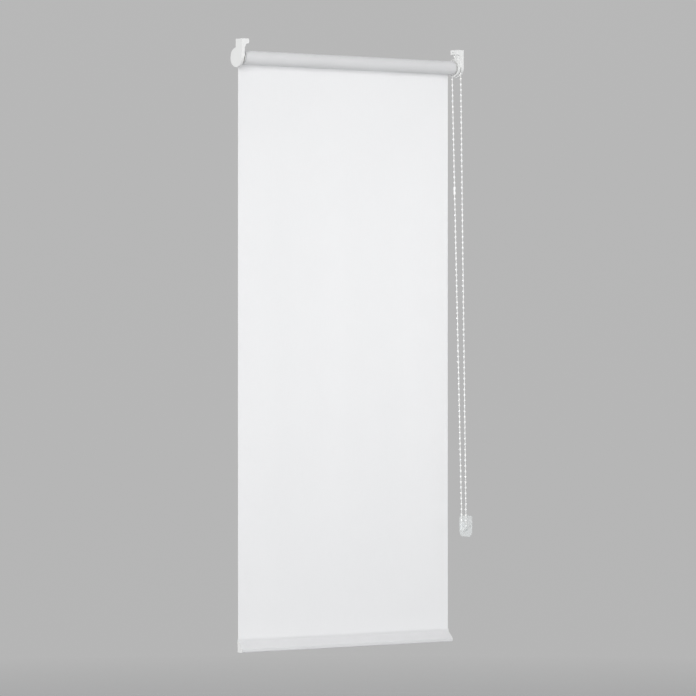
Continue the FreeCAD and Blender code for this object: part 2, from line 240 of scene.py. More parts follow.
class Recipe(Nodes):
    """The node tree of one finish, with a Principled shader at its end."""

    def __init__(self, name: str) -> None:
        """Start a material of that name."""
        self.material = bpy.data.materials.new(name)
        self.material.use_nodes = True
        super().__init__(self.material.node_tree)
        self.shader = self.tree.nodes["Principled BSDF"]
        self.end = self.tree.nodes["Material Output"]

    def shade(self, **sockets: Any) -> None:
        """Feed the Principled shader's sockets, named with _ for each space."""
        names = {socket.name.replace(" ", "_"): socket for socket in self.shader.inputs}
        for name, value in sockets.items():
            self.feed(names[name], value)

    def place(self) -> Signal:
        """Where a point lies in the piece."""
        return self.add("ShaderNodeTexCoord", output="Object")

    def cut(self) -> Signal:
        """Where a point of cloth or cord lies in its flat cut."""
        return self.add("ShaderNodeAttribute", {"attribute_name": "cut"}, output="Vector")

    def stretched(self, place: Signal, scale: tuple[float, float, float]) -> Signal:
        """A place with its coordinates scaled, for a pattern longer one way than another."""
        settings = {"operation": "MULTIPLY"}
        return self.add("ShaderNodeVectorMath", settings, {0: place, 1: scale})

    def noise(self, place: Signal, scale: float, detail: float = 2.0) -> Signal:
        """Cloudy noise from 0 to 1, with that many clouds to the metre."""
        inputs = {"Vector": place, "Scale": scale, "Detail": detail}
        return self.add("ShaderNodeTexNoise", None, inputs, "Fac")

    def blend(self, mask: Signal, low: Colour, high: Colour) -> Signal:
        """A colour from low to high as the mask goes from 0 to 1."""
        inputs = {0: mask, 6: low, 7: high}
        return self.add("ShaderNodeMix", {"data_type": "RGBA"}, inputs, 2)

    def relief(self, height: Signal, depth: float, over: Signal | None = None) -> Signal:
        """A surface direction with a raised pattern.

        Args:
            height: The pattern, from 0 to 1.
            depth: How high a 1 stands, in metres.
            over: The direction it is added to, if not the surface's own.

        Returns:
            The direction for a Normal socket.
        """
        inputs: dict[str | int, Any] = {"Height": height, "Distance": depth}
        if over is not None:
            inputs["Normal"] = over
        return self.add("ShaderNodeBump", None, inputs)

    def rounded(self, radius: float) -> Signal:
        """A surface direction that rounds the sharp corners of a moulding."""
        return self.add("ShaderNodeBevel", {"samples": 4}, {"Radius": radius})

    def corners(self, rounded: Signal) -> Signal:
        """A mask that is 1 at corners and 0 on flat faces."""
        face = self.add("ShaderNodeNewGeometry", output="Normal")
        settings = {"operation": "DOT_PRODUCT"}
        match = self.add("ShaderNodeVectorMath", settings, {0: rounded, 1: face}, "Value")
        return ((1.0 - match) * 4.0).held()


# -------------------------------------------------------------------- finishes


@dataclass(frozen=True)
class Finish(ABC):
    """How one kind of surface looks."""

    slot: Slot

    @abstractmethod
    def mix(self, recipe: Recipe) -> None:
        """Add this finish's nodes."""


@cache
def material_of(finish: Finish) -> bpy.types.Material:
    """The material of a finish, made on first use."""
    recipe = Recipe(f"{finish.slot.value}.{type(finish).__name__}")
    finish.mix(recipe)
    return recipe.material


@dataclass(frozen=True)
class MouldedPlastic(Finish):
    """Injection-moulded plastic with soft corners, slight sinks and a fine mould texture."""

    colour: Colour
    shade_colour: Colour
    roughness: float = 0.28
    grain: float = 0.35 * MM
    grain_depth: float = 0.006 * MM
    flow_scale: float = 38.0
    smear_scale: float = 420.0
    sink: float = 0.12 * MM
    corner: float = 0.35 * MM

    def mix(self, recipe: Recipe) -> None:
        """Mottle the colour, rub the corners smooth and add mould grain over slow sinks."""
        place = recipe.place()
        flow = recipe.noise(place, self.flow_scale, 3.0)
        smears = recipe.noise(recipe.stretched(place, (1.0, 1.0, 0.35)), self.smear_scale, 4.0)
        grain = recipe.noise(place, 1.0 / self.grain, 2.0)
        soft = recipe.rounded(self.corner)
        rubbed = recipe.corners(soft)
        # Every sharp edge, inner corners as well as outer ones, is mixed towards the darker colour: wear on
        # the outer edges, painted shade in the inner corners.
        tone = (flow * 0.5 + smears * 0.3 + rubbed * 0.25).held()
        sinks = recipe.relief(flow, self.sink, soft)
        recipe.shade(
            Base_Color=recipe.blend(tone, self.colour, self.shade_colour),
            Roughness=(self.roughness + (smears - 0.5) * 0.16 - rubbed * 0.08).held(0.05, 0.9),
            Normal=recipe.relief(grain, self.grain_depth, sinks),
            IOR=1.49,
            Specular_IOR_Level=0.5,
        )


@dataclass(frozen=True)
class BeadPlastic(Finish):
    """Glossy plastic moulded onto the chain's cord, each bead a little off the next in tone."""

    colour: Colour = (0.92, 0.925, 0.92, 1.0)
    shade_colour: Colour = (0.82, 0.825, 0.82, 1.0)
    bead_scale: float = 90.0
    handling_scale: float = 900.0

    def mix(self, recipe: Recipe) -> None:
        """Vary tone from bead to bead and dull the shine where hands pull."""
        place = recipe.place()
        beads = recipe.noise(place, self.bead_scale, 1.0)
        handling = recipe.noise(place, self.handling_scale, 3.0)
        tone = (beads * 0.8 + handling * 0.3).held()
        recipe.shade(
            Base_Color=recipe.blend(tone, self.colour, self.shade_colour),
            Roughness=(0.14 + handling * 0.22).held(),
            Normal=recipe.relief(handling, 0.01 * MM),
            IOR=1.5,
            Subsurface_Weight=0.12,
            Subsurface_Radius=(1.2 * MM, 1.1 * MM, 1.0 * MM),
            Subsurface_Scale=1.0,
        )


@dataclass(frozen=True)
class ClearPlastic(Finish):
    """Clear moulding: almost nothing on flat faces, milky at edges and where it is rubbed."""

    colour: Colour = (0.9, 0.925, 0.925, 1.0)
    shade_colour: Colour = (0.78, 0.82, 0.82, 1.0)
    body: float = 0.16
    flow_scale: float = 160.0
    rub_scale: float = 700.0
    flow_depth: float = 0.06 * MM
    corner: float = 0.4 * MM

    def mix(self, recipe: Recipe) -> None:
        """Let what is behind show through, less so at corners and glancing faces."""
        place = recipe.place()
        flow = recipe.noise(recipe.stretched(place, (1.0, 0.4, 1.0)), self.flow_scale, 2.0)
        rubbed = recipe.noise(place, self.rub_scale, 4.0)
        soft = recipe.rounded(self.corner)
        edge = recipe.corners(soft)
        glancing = recipe.add("ShaderNodeLayerWeight", None, {"Blend": 0.25}, "Facing")
        recipe.shade(
            Base_Color=recipe.blend(rubbed, self.colour, self.shade_colour),
            Roughness=(0.05 + rubbed * 0.16).held(),
            Alpha=(self.body + edge * 0.35 + glancing * 0.4 + (rubbed - 0.5) * 0.12).held(),
            Normal=recipe.relief(flow, self.flow_depth, soft),
            IOR=1.49,
            Coat_Roughness=0.05,
        )


@dataclass(frozen=True)
class CoatedCloth(Finish):
    """Plain-weave polyester with a white coating that fills most of the weave and lets light through."""

    colour: Colour = (0.885, 0.888, 0.897, 1.0)
    shade_colour: Colour = (0.82, 0.825, 0.838, 1.0)
    yarn: float = 0.42 * MM
    weave_depth: float = 0.035 * MM
    slub_scale: float = 1400.0
    thread_scale: float = 1100.0
    cloud_scale: float = 6.0
    dimple_scale: float = 240.0
    dimple_depth: float = 0.03 * MM
    light_reach: float = 4.0 * MM

    def mix(self, recipe: Recipe) -> None:
        """Weave two sets of yarns over and under, then add slubs and slight dimples."""
        cut = recipe.cut()
        across = (recipe.along(cut, "X") * (math.pi / self.yarn)).sine()
        down = (recipe.along(cut, "Y") * (math.pi / self.yarn)).sine()
        over = across * down
        weave = (across ** 2.0 * (1.0 + over) + down ** 2.0 * (1.0 - over)) * 0.5
        slubs = recipe.noise(recipe.stretched(cut, (0.04, 1.0, 1.0)), self.slub_scale, 2.0)
        threads = recipe.noise(recipe.stretched(cut, (1.0, 0.02, 1.0)), self.thread_scale, 2.0)
        clouds = recipe.noise(cut, self.cloud_scale, 3.0)
        # Where the yarns dip apart the cloth is painted darker, which is painted shade in the gaps of the
        # weave; slubs, threads and clouds vary the tone at random.
        tone = (0.62 - weave * 0.28 + (slubs + threads - 1.0) * 0.5 + (clouds - 0.5) * 0.4).held()
        coating = recipe.relief(recipe.noise(cut, self.dimple_scale, 3.0), self.dimple_depth)
        recipe.shade(
            Base_Color=recipe.blend(tone, self.colour, self.shade_colour),
            Roughness=(0.6 + slubs * 0.16 - weave * 0.06).held(),
            Normal=recipe.relief(weave * 0.8 + slubs * 0.5, self.weave_depth, coating),
            Sheen_Weight=0.12,
            Sheen_Roughness=0.4,
            Specular_IOR_Level=0.3,
            Subsurface_Weight=0.3,
            Subsurface_Radius=(self.light_reach, self.light_reach, self.light_reach),
            Subsurface_Scale=1.0,
        )


@dataclass(frozen=True)
class PlyCord(Finish):
    """Twisted polyester cord inside the chain."""

    colour: Colour = (0.9, 0.9, 0.89, 1.0)
    shade_colour: Colour = (0.7, 0.7, 0.69, 1.0)
    lay: float = 3.2 * MM
    plies: float = 3.0
    fibre_scale: float = 5200.0
    ply_depth: float = 0.06 * MM

    def mix(self, recipe: Recipe) -> None:
        """Twist fine fibres round the cord."""
        cut = recipe.cut()
        turn = recipe.along(cut, "X") * self.plies + recipe.along(cut, "Y") * (2 * math.pi / self.lay)
        ply = turn.sine() * 0.5 + 0.5
        fibres = recipe.noise(recipe.place(), self.fibre_scale, 2.0)
        # Where the plies dip the cord is painted darker, which is painted shade in the grooves; the fibres
        # vary the tone at random.
        tone = (0.8 - ply * 0.6 + fibres * 0.2).held()
        recipe.shade(
            Base_Color=recipe.blend(tone, self.colour, self.shade_colour),
            Roughness=(0.66 + fibres * 0.2).held(),
            Normal=recipe.relief(ply * 0.8 + fibres * 0.4, self.ply_depth),
            Sheen_Weight=0.2,
        )


@dataclass(frozen=True)
class DrawnMetal(Finish):
    """Metal drawn or extruded along X, with die lines, dull patches and rubbed corners."""

    colour: Colour
    shade_colour: Colour
    roughness: float = 0.34
    line: float = 0.25 * MM
    line_depth: float = 0.01 * MM
    oxide_scale: float = 55.0
    corner: float = 0.15 * MM

    def mix(self, recipe: Recipe) -> None:
        """Draw die lines along X over slow patches of oxide."""
        place = recipe.place()
        lines = recipe.noise(recipe.stretched(place, (0.02, 1.0, 1.0)), 1.0 / self.line, 3.0)
        oxide = recipe.noise(place, self.oxide_scale, 5.0)
        soft = recipe.rounded(self.corner)
        rubbed = recipe.corners(soft)
        tone = (oxide * 0.7 + lines * 0.4 - rubbed * 0.5).held()
        dullness = self.roughness + oxide * 0.18 + (lines - 0.5) * 0.14 - rubbed * 0.1
        recipe.shade(
            Base_Color=recipe.blend(tone, self.colour, self.shade_colour),
            Metallic=1.0,
            Roughness=dullness.held(0.08, 0.9),
            Normal=recipe.relief(lines, self.line_depth, soft),
        )


@dataclass(frozen=True)
class CarrierTape(Finish):
    """Double-sided tape on a fibrous carrier."""

    colour: Colour = (0.78, 0.77, 0.7, 1.0)
    shade_colour: Colour = (0.66, 0.64, 0.55, 1.0)
    fibre_scale: float = 2600.0
    bubble_scale: float = 500.0
    depth: float = 0.02 * MM

    def mix(self, recipe: Recipe) -> None:
        """Lay fibres and small bubbles in the tape."""
        place = recipe.place()
        fibres = recipe.noise(recipe.stretched(place, (0.15, 1.0, 1.0)), self.fibre_scale, 3.0)
        bubbles = recipe.noise(place, self.bubble_scale, 1.0)
        tone = (fibres * 0.7 + bubbles * 0.3).held()
        recipe.shade(
            Base_Color=recipe.blend(tone, self.colour, self.shade_colour),
            Roughness=(0.22 + bubbles * 0.25).held(),
            Normal=recipe.relief(fibres + bubbles, self.depth),
        )


WHITE_GLOSS = MouldedPlastic(
    Slot.BRACKET, (0.81, 0.815, 0.81, 1.0), (0.74, 0.745, 0.74, 1.0), roughness=0.2
)
WHITE_SATIN = MouldedPlastic(
    Slot.DRIVE, (0.82, 0.82, 0.8, 1.0), (0.72, 0.72, 0.69, 1.0), roughness=0.42, grain_depth=0.012 * MM
)
BEADS = BeadPlastic(Slot.CHAIN)
CORD = PlyCord(Slot.CHAIN)
CLEAR = ClearPlastic(Slot.CLEAR)
CLOTH = CoatedCloth(Slot.CLOTH)
TAPE = CarrierTape(Slot.TAPE)
MILL_ALUMINIUM = DrawnMetal(Slot.TUBE, (0.82, 0.83, 0.84, 1.0), (0.66, 0.67, 0.69, 1.0))
SPRING_WIRE = DrawnMetal(
    Slot.SPRING, (0.5, 0.5, 0.52, 1.0), (0.3, 0.29, 0.28, 1.0), roughness=0.26, line=0.1 * MM
)
ZINC_PLATE = DrawnMetal(
    Slot.SCREW, (0.74, 0.75, 0.78, 1.0), (0.56, 0.56, 0.52, 1.0), roughness=0.24, line_depth=0.004 * MM
)


# ---------------------------------------------------------------------- meshes


class Draft:
    """A mesh being drawn ring by ring, which remembers where each point lies in its flat cut."""

    def __init__(self) -> None:
        """Start an empty mesh."""
        self.mesh = bmesh.new()
        self.cut = self.mesh.verts.layers.float_vector.new("cut")

    def ring(self, points: Sequence[Vector], cuts: Sequence[tuple[float, float]]) -> list[Any]:
        """Add a row of points.

        Args:
            points: Their places.
            cuts: Where each lies in the flat cut.

        Returns:
            The mesh's vertices.
        """
        row = []
        for point, (across, down) in zip(points, cuts):
            vertex = self.mesh.verts.new(point)
            vertex[self.cut] = (across, down, 0.0)
            row.append(vertex)
        return row

    def face(self, *corners: Any, finish: int = 0) -> None:
        """Add one face in that finish."""
        self.mesh.faces.new(corners).material_index = finish

    def skin(self, rings: Sequence[list[Any]], finish: int = 0) -> None:
        """Join each closed ring to the next with a band of faces."""
        for low, high in zip(rings, rings[1:]):
            for i, (a, b) in enumerate(zip(low, high)):
                j = (i + 1) % len(low)
                self.face(a, low[j], high[j], b, finish=finish)

    def piece(self, name: str, finishes: Sequence[Finish], sharp: float = 38.0) -> bpy.types.Object:
        """Turn the draft into an object.

        Args:
            name: The object's name.
            finishes: Its finishes; faces count from the first.
            sharp: Edges that turn by more degrees than this stay sharp.

        Returns:
            The object, at the origin.
        """
        bmesh.ops.recalc_face_normals(self.mesh, faces=self.mesh.faces)
        data = bpy.data.meshes.new(name)
        self.mesh.to_mesh(data)
        self.mesh.free()
        data.shade_smooth()
        data.set_sharp_from_angle(angle=math.radians(sharp))
        for finish in finishes:
            data.materials.append(material_of(finish))
        made = bpy.data.objects.new(name, data)
        bpy.context.scene.collection.objects.link(made)
        return made


@dataclass(frozen=True)
class Strip:
    """A strip of cloth: its middle line in section, drawn along X."""

    line: list[Vector]
    half_width: float
    thickness: float
    columns: int

    def normals(self) -> list[Vector]:
        """The direction across the cloth at each point of its line."""
        found = []
        for i in range(len(self.line)):
            ahead = self.line[min(i + 1, len(self.line) - 1)]
            behind = self.line[max(i - 1, 0)]
            run = (ahead - behind).normalized()
            found.append(Vector((0.0, run.z, -run.y)))
        return found

    def lengths(self) -> list[float]:
        """How far along the cloth each point of its line is."""
        total = [0.0]
        for here, ahead in zip(self.line, self.line[1:]):
            total.append(total[-1] + (ahead - here).length)
        return total

    def draw(self, name: str, lift: Callable[[float, float], float]) -> bpy.types.Object:
        """Make the cloth.

        Args:
            name: The piece's name.
            lift: How far the cloth stands off its line, given X and the distance along it.

        Returns:
            The piece.
        """
        draft = Draft()
        normals, lengths = self.normals(), self.lengths()
        count = len(self.line)
        rings = []
        for column in range(self.columns + 1):
            x = self.half_width * (2 * column / self.columns - 1)
            faces: dict[int, list[Vector]] = {1: [], -1: []}
            for point, normal, length in zip(self.line, normals, lengths):
                for side, row in faces.items():
                    out = lift(x, length) + side * self.thickness / 2
                    row.append(Vector((x, point.y, point.z)) + normal * out)
            cuts = [(x, length) for length in lengths]
            rings.append(draft.ring(faces[1] + faces[-1][::-1], cuts + cuts[::-1]))
        draft.skin(rings)
        for ring in (rings[0], rings[-1]):
            for i in range(count - 1):
                draft.face(ring[i], ring[i + 1], ring[2 * count - 2 - i], ring[2 * count - 1 - i])
        return draft.piece(name, [CLOTH])


def smooth(share: float) -> float:
    """0 below 0, 1 above 1, and an even curve between."""
    held = min(max(share, 0.0), 1.0)
    return held * held * (3.0 - 2.0 * held)


def rounded_line(corners: Sequence[tuple[float, float, float]], steps: int = 7) -> list[Vector]:
    """A line in section with its corners turned in arcs.

    Args:
        corners: The Y, Z and radius of each corner; a radius of 0 is an end.
        steps: Points in each arc.

    Returns:
        The line's points.
    """
    places = [Vector((0.0, y, z)) for y, z, _ in corners]
    line = [places[0]]
    for i in range(1, len(corners) - 1):
        arrive = (places[i] - places[i - 1]).normalized()
        leave = (places[i + 1] - places[i]).normalized()
        half_turn = arrive.angle(leave) / 2
        radius = corners[i][2]
        centre = places[i] + (leave - arrive).normalized() * radius / math.cos(half_turn)
        start = (places[i] - arrive * radius * math.tan(half_turn) - centre).normalized()
        end = (places[i] + leave * radius * math.tan(half_turn) - centre).normalized()
        for step in range(steps):
            line.append(centre + start.slerp(end, step / (steps - 1)) * radius)
    return line + [places[-1]]


# ----------------------------------------------------------------- the blind


@dataclass(frozen=True)
class Axis:
    """The roller's axis and the ends of what turns on it."""

    y: float
    z: float

    def at(self, x: float, radius: float, angle: float) -> Vector:
        """A point round the axis, with the angle from +Y towards +Z."""
        return Vector((x, self.y + radius * math.cos(angle), self.z + radius * math.sin(angle)))


def roller_axis() -> Axis:
    """The axis of the joint that turns the roller."""
    joint = next(j for j in frame["joints"] if j["name"] == "roller_turn")
    return Axis(joint["pos_m"][1], joint["pos_m"][2])


def lift_travel() -> float:
    """How far the bottom rail goes up."""
    joint = next(j for j in frame["joints"] if j["name"] == "rail_lift")
    return joint["range_m"][1]


class Assembly(ABC):
    """A part of the blind that is built and dressed on its own."""

    @abstractmethod
    def build(self) -> list[bpy.types.Object]:
        """Make and dress the pieces, and return them."""

    @staticmethod
    def dress(finishes: dict[str, Finish]) -> list[bpy.types.Object]:
        """Give frame nodes their finishes, by node name, and return them."""
        dressed = []
        for node, finish in finishes.items():
            piece = frame["nodes"][node]
            piece.data.materials.clear()
            piece.data.materials.append(material_of(finish))
            dressed.append(piece)
        return dressed


@dataclass
class RolledCloth(Assembly):
    """The turns of cloth left on the tube when the blind is lowered."""

    turns: float = 1.9
    thickness: float = 0.34 * MM
    pitch: float = 0.36 * MM
    inner_radius: float = 14.2 * MM
    fade: float = math.radians(40)
    steps: int = 150
    ridge: float = 0.1 * MM
    ridge_half: float = math.radians(21)
    ridge_edge: float = 0.12
    ripple: float = 0.03 * MM
    columns: int = 24

    def radius(self, angle: float, leave: float) -> float:
        """Radius of the cloth's middle line.

        Args:
            angle: How far it is wound from where the cloth leaves the roll.
            leave: The radius at which it leaves.

        Returns:
            The radius, with the tape's ridge and the rise to where it leaves.
        """
        outer = self.inner_radius + self.pitch * self.turns
        wound = outer - self.pitch * angle / (2 * math.pi)
        rise = (leave - outer) * (1.0 - smooth(angle / self.fade))
        off_top = abs(math.remainder(angle - math.pi / 2, 2 * math.pi))
        return wound + rise + self.ridge * (1.0 - smooth((off_top - self.ridge_half) / self.ridge_edge))

    def build(self) -> list[bpy.types.Object]:
        """Wind the cloth round the tube, with the ridge that the tape makes under it."""
        low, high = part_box("fabric_roll")
        axis = roller_axis()
        angles = [2 * math.pi * self.turns * i / self.steps for i in range(self.steps + 1)]
        sheet_low, sheet_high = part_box("fabric_sheet")
        leave = (sheet_low.y + sheet_high.y) / 2 - axis.y
        line = [axis.at(0.0, self.radius(angle, leave), angle) for angle in angles]
        strip = Strip(line, (high.x - low.x) / 2, self.thickness, self.columns)

        def lift(x: float, length: float) -> float:
            """Faint ripples."""
            return self.ripple * math.sin(23.0 * x + 19.0 * length)

        roll = strip.draw("rolled_cloth", lift)
        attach(roll, Body.ROLLER.value)
        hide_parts("fabric_roll")
        2 * strip.half_width
        strip.lengths()[-1]
        return [roll]


@dataclass
class HangingCloth(Assembly):
    """The cloth between the roller and the hem."""

    thickness: float = 0.4 * MM
    rows: int = 110
    columns: int = 96
    wave: float = 0.42 * MM
    curl: float = 0.5 * MM
    wave_spacing: float = 0.23
    ripple_spacing: float = 0.097
    cross_waves: float = 2.3
    edge_power: int = 14

    def build(self) -> list[bpy.types.Object]:
        """Hang the cloth, with the slight waves that it keeps from its roll."""
        low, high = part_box("fabric_sheet")
        middle_y = (low.y + high.y) / 2
        drop = high.z - low.z
        line = [Vector((0.0, middle_y, high.z - drop * i / self.rows)) for i in range(self.rows + 1)]
        strip = Strip(line, (high.x - low.x) / 2, self.thickness, self.columns)

        def lift(x: float, length: float) -> float:
            """Waves and curled edges that fade out at the roller and the hem."""
            share = length / drop
            slack = math.sin(math.pi * share) ** 0.8 if 0 < share < 1 else 0.0
            wave = math.sin(2 * math.pi * x / self.wave_spacing + 0.7 + 0.5 * share)
            ripple = 0.4 * math.sin(2 * math.pi * x / self.ripple_spacing + 2.1 - 1.2 * share)
            cross_wave = 0.35 * math.sin(2 * math.pi * share * self.cross_waves + 9.0 * x)
            edge = (abs(x) / strip.half_width) ** self.edge_power
            return slack * (self.wave * (wave + ripple + cross_wave) * (1 - edge) - self.curl * edge)

        cloth = strip.draw("hanging_cloth", lift)
        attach(cloth, Body.RAIL.value)
        (drop - lift_travel()) / drop
        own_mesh(cloth)
        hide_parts("fabric_sheet")
        2 * strip.half_width
        return [cloth]


@dataclass
class Hem(Assembly):
    """The pocket of cloth at the bottom, its weight bar and the bar's end caps."""

    thickness: float = 0.4 * MM
    slope_foot: float = 8.0 * MM
    slope_top: float = 22.6 * MM
    neck_radius: float = 7.2 * MM
    nose_radius: float = 2.3 * MM
    foot_radius: float = 2.2 * MM
    slack: float = 0.22 * MM
    columns: int = 72

    def line(self, low: Vector, high: Vector) -> list[Vector]:
        """The cloth's middle line, down the back, round the bar and up to the welded neck."""
        half = self.thickness / 2
        front, back, neck = low.y + half, high.y - half, high.y - 3 * half
        lean = math.atan2(self.slope_top - self.slope_foot, neck + half - 2 * self.thickness - low.y + half)
        sunk = half / math.cos(lean)
        foot = low.z + self.slope_foot + half * math.tan(lean) - sunk
        head = foot + (neck - front) * math.tan(lean)
        corners = [
            (back, high.z, 0.0),
            (back, low.z + half, self.foot_radius),
            (front, low.z + half, self.foot_radius),
            (front, foot, self.nose_radius),
            (neck, head, self.neck_radius),
            (neck, high.z, 0.0),
        ]
        return rounded_line(corners)

    def build(self) -> list[bpy.types.Object]:
        """Fold the pocket round the bar and dress the bar and caps."""
        low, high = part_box("fabric_hem")
        strip = Strip(self.line(low, high), (high.x - low.x) / 2, self.thickness, self.columns)
        total = strip.lengths()[-1]

        def lift(x: float, length: float) -> float:
            """Slack that stands a little proud of the bar's front."""
            share = smooth((length / total - 0.45) / 0.2) * smooth((0.97 - length / total) / 0.1)
            ends = 1 - (abs(x) / strip.half_width) ** 6
            return -self.slack * share * ends * (0.5 + 0.5 * math.sin(51.0 * x + 30.0 * length))

        pocket = strip.draw("hem_pocket", lift)
        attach(pocket, Body.RAIL.value)
        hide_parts("fabric_hem")
        2 * strip.half_width
        return [pocket] + self.dress({
            "bottom_bar": MILL_ALUMINIUM,
            "bar_end_cap_left": WHITE_GLOSS,
            "bar_end_cap_right": WHITE_GLOSS,
        })


class Thread:
    """A line that can be asked for its place and direction at any distance along it."""

    def __init__(self, points: Sequence[Vector]) -> None:
        """Measure the line through those points."""
        self.points = list(points)
        self.marks = [0.0]
        for here, ahead in zip(self.points, self.points[1:]):
            self.marks.append(self.marks[-1] + (ahead - here).length)

    @property
    def length(self) -> float:
        """Its whole length."""
        return self.marks[-1]

    def at(self, distance: float) -> tuple[Vector, Vector]:
        """The place and the direction at a distance from the start."""
        i = min(max(bisect_right(self.marks, distance) - 1, 0), len(self.points) - 2)
        here, ahead = self.points[i], self.points[i + 1]
        run = ahead - here
        share = (distance - self.marks[i]) / run.length
        return here + run * share, run.normalized()

    def ring(self, distance: float, radii: Sequence[float]) -> list[Vector]:
        """Points round the line at a distance along it, one for each radius."""
        centre, run = self.at(distance)
        side = Vector((1.0, 0.0, 0.0))
        up = run.cross(side).normalized()
        angles = [2 * math.pi * i / len(radii) for i in range(len(radii))]
        return [
            centre + (side * math.cos(a) + up * math.sin(a)) * r for a, r in zip(angles, radii)
        ]


@dataclass(frozen=True)
class Bead:
    """One bead moulded on the cord: a ball with a short collar at each side."""

    radius: float = 2.25 * MM
    collar: float = 1.15 * MM
    collar_reach: float = 3.1 * MM
    throat: float = 0.55 * MM
    chamfer: float = 0.15 * MM
    flash: float = 0.05 * MM
    sides: int = 16
    ball_steps: int = 8

    def profile(self) -> list[tuple[float, float]]:
        """Distance along the cord and radius of each ring of the bead."""
        meet = math.acos(self.collar / self.radius)
        turns = [-meet + 2 * meet * i / self.ball_steps for i in range(self.ball_steps + 1)]
        ball = [(self.radius * math.sin(t), self.radius * math.cos(t)) for t in turns]
        reach = self.collar_reach
        start = [(-reach, self.throat), (-reach, self.collar * 0.8), (-reach + self.chamfer, self.collar)]
        return start + ball + [(-s, r) for s, r in reversed(start)]

    def draw(self, draft: Draft, thread: Thread, distance: float, finish: int = 0) -> None:
        """Add the bead to a mesh, that far along its cord."""
        rings = []
        for offset, radius in self.profile():
            radii = [radius] * self.sides
            if radius > self.collar:
                radii[0] = radii[self.sides // 2] = radius + self.flash
            points = thread.ring(distance + offset, radii)
            rings.append(draft.ring(points, [(0.0, 0.0)] * self.sides))
        draft.skin(rings, finish)
        draft.face(*rings[0], finish=finish)
        draft.face(*rings[-1], finish=finish)


@dataclass(frozen=True)
class Loop:
    """The chain's route: down from the wheel, round the hook on the wall and up again."""

    x: float = 296.0 * MM
    pitch: float = 12.0 * MM
    pockets: int = 8
    hook_y: float = -17.5 * MM
    hook_z: float = -1046.98 * MM
    hook_radius: float = 7.4 * MM
    link_z: float = -308.84 * MM
    link_length: float = 18.0 * MM
    near: float = 27.0 * MM

    @property
    def wheel_radius(self) -> float:
        """Radius of the beads' centres on the wheel."""
        return self.pitch * self.pockets / (2 * math.pi)

    def corners(self, y: float, z: float, radius: float, start: float, end: float) -> list[Vector]:
        """Four corners of the route round a wheel or hook, which turns it between two angles."""
        turn = (end - start) / 4
        reach = radius / math.cos(turn / 2)
        angles = [start + turn * (count + 0.5) for count in range(4)]
        return [Vector((self.x, y + reach * math.cos(a), z + reach * math.sin(a))) for a in angles]

    def route(self, axis: Axis) -> list[Vector]:
        """Corners of the route from the joining link round to it again.

        Args:
            axis: The wheel's axis.

        Returns:
            The corners, with one point on each run near the wheel and near the hook.
        """
        sideways, down = self.hook_y - axis.y, self.hook_z - axis.z
        lean = math.asin((self.wheel_radius - self.hook_radius) / math.hypot(sideways, down))
        hang = math.atan2(down, sideways)
        start, end = hang + math.pi / 2 - lean, hang + 3 * math.pi / 2 + lean
        wheel = self.corners(axis.y, axis.z, self.wheel_radius, start, end)
        hook = self.corners(self.hook_y, self.hook_z, self.hook_radius, end, start + 2 * math.pi)
        back_run = (wheel[0] - hook[3]).normalized()
        front_run = (hook[0] - wheel[3]).normalized()
        middle = wheel[0] - back_run * ((wheel[0].z - self.link_z) / back_run.z)
        half = back_run * (self.link_length / 2)
        return [
            middle + half,
            wheel[0] - back_run * self.near,
            *wheel,
            wheel[3] + front_run * self.near,
            hook[0] - front_run * self.near,
            *hook,
            hook[3] + back_run * self.near,
            middle - half,
        ]

    def thread(self, axis: Axis) -> Thread:
        """The smooth line of the chain, read from a spline through its route."""
        route = self.route(axis)
        curve = bpy.data.curves.new("chain_line", "CURVE")
        curve.dimensions = "3D"
        spline = curve.splines.new("NURBS")
        spline.points.add(len(route) - 1)
        for point, corner in zip(spline.points, route):
            point.co = (*corner, 1.0)
        spline.order_u = 3
        spline.use_endpoint_u = True
        spline.resolution_u = 32
        line = bpy.data.objects.new("chain_line", curve)
        bpy.context.scene.collection.objects.link(line)
        drawn = bpy.data.meshes.new_from_object(line)
        points = [vertex.co.copy() for vertex in drawn.vertices]
        bpy.data.objects.remove(line)
        bpy.data.meshes.remove(drawn)
        bpy.data.curves.remove(curve)
        return Thread(points)


@dataclass
class BeadChain(Assembly):
    """The endless chain of beads on a cord, and the link that joins its ends."""

    loop: Loop = Loop()
    bead: Bead = Bead()
    free_beads: int = 172
    cord_radius: float = 0.85 * MM
    cord_sides: int = 8
    cord_step: float = 1.0 * MM
    ply_bulge: float = 0.1

    def cord(self, draft: Draft, thread: Thread, start: float, end: float, finish: int) -> None:
        """Draw twisted cord between two distances along a line."""
        count = round((end - start) / self.cord_step)
        rings = []
        turns = [2 * math.pi * i / self.cord_sides for i in range(self.cord_sides)]
        for step in range(count + 1):
            distance = start + (end - start) * step / count
            twist = 2 * math.pi * distance / CORD.lay
            bulges = [math.cos(CORD.plies * turn + twist) for turn in turns]
            radii = [self.cord_radius * (1 + self.ply_bulge * bulge) for bulge in bulges]
            rings.append(draft.ring(thread.ring(distance, radii), [(turn, distance) for turn in turns]))
        draft.skin(rings, finish)
        draft.face(*rings[0], finish=finish)
        draft.face(*rings[-1], finish=finish)

    def build(self) -> list[bpy.types.Object]:
        """String the beads on their cord and log the length of its line."""
        thread = self.loop.thread(roller_axis())
        draft = Draft()
        self.cord(draft, thread, 0.0, thread.length, 1)
        gap = thread.length / (self.free_beads + 0.5)
        for count in range(self.free_beads):
            self.bead.draw(draft, thread, gap * (count + 0.75))
        chain = draft.piece("bead_chain", [BEADS, CORD])
        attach(chain, Body.FIXED.value)
        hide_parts("control_chain")
        link = JoiningLink(self).draw(thread)
        log.info("chain line is %.4f m long", thread.length)
        2 * self.bead.radius
        return [chain, link]


